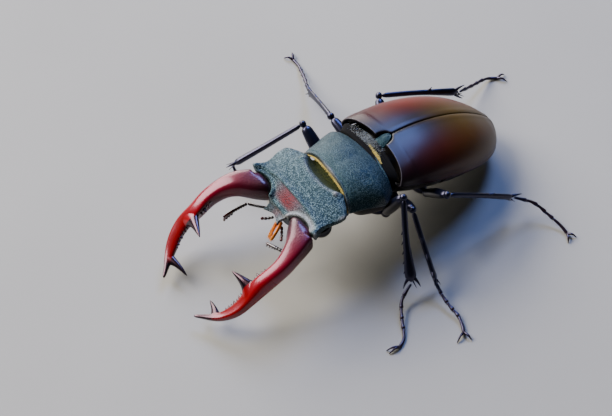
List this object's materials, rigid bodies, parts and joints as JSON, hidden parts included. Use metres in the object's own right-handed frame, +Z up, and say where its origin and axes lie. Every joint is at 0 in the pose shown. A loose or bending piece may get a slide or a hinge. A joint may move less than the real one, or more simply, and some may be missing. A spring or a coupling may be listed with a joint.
{
  "type": "stag beetle",
  "caption": "Life-size still model of a large male stag beetle on spread legs, with long antler-like red jaws, a broad dark head and chestnut wing cases.",
  "frame": {"origin": "middle of the beetle's footprint, on the floor that its feet stand on", "axes": "+Z up, -Y the way the beetle faces, +X towards the beetle's left"},
  "size_m": [0.0784, 0.0836, 0.0175],
  "materials": {
    "wing_cases": "smooth satin chestnut, as polished shell",
    "head_plates": "fine-grained blue-black shell",
    "mandibles": "polished deep red, darker at root, teeth and tip",
    "legs": "polished black",
    "belly": "satin brown-black",
    "eyes": "glossy black, finely faceted",
    "feelers": "polished dark red-brown",
    "hair_collar": "short golden hair",
    "brush": "soft orange hair"
  },
  "bodies": {
    "root": {"abdomen": "belly", "antenna_club_left": "feelers", "antenna_club_right": "feelers", "antenna_scape_left": "feelers", "antenna_scape_right": "feelers", "collar": "hair_collar", "coxa_front_left": "legs", "coxa_front_right": "legs", "coxa_hind_left": "legs", "coxa_hind_right": "legs", "coxa_middle_left": "legs", "coxa_middle_right": "legs", "elytron_left": "wing_cases", "elytron_right": "wing_cases", "eye_left": "eyes", "eye_right": "eyes", "femur_front_left": "legs", "femur_front_right": "legs", "femur_hind_left": "legs", "femur_hind_right": "legs", "femur_middle_left": "legs", "femur_middle_right": "legs", "head": "head_plates", "labrum": "head_plates", "mandible_left": "mandibles", "mandible_right": "mandibles", "metathorax": "belly", "mouth_brush": "brush", "palp_left": "feelers", "palp_right": "feelers", "pronotum": "head_plates", "prosternum": "belly", "scutellum": "head_plates", "tarsus_front_left": "legs", "tarsus_front_right": "legs", "tarsus_hind_left": "legs", "tarsus_hind_right": "legs", "tarsus_middle_left": "legs", "tarsus_middle_right": "legs", "tibia_front_left": "legs", "tibia_front_right": "legs", "tibia_hind_left": "legs", "tibia_hind_right": "legs", "tibia_middle_left": "legs", "tibia_middle_right": "legs"}
  },
  "joints": []
}
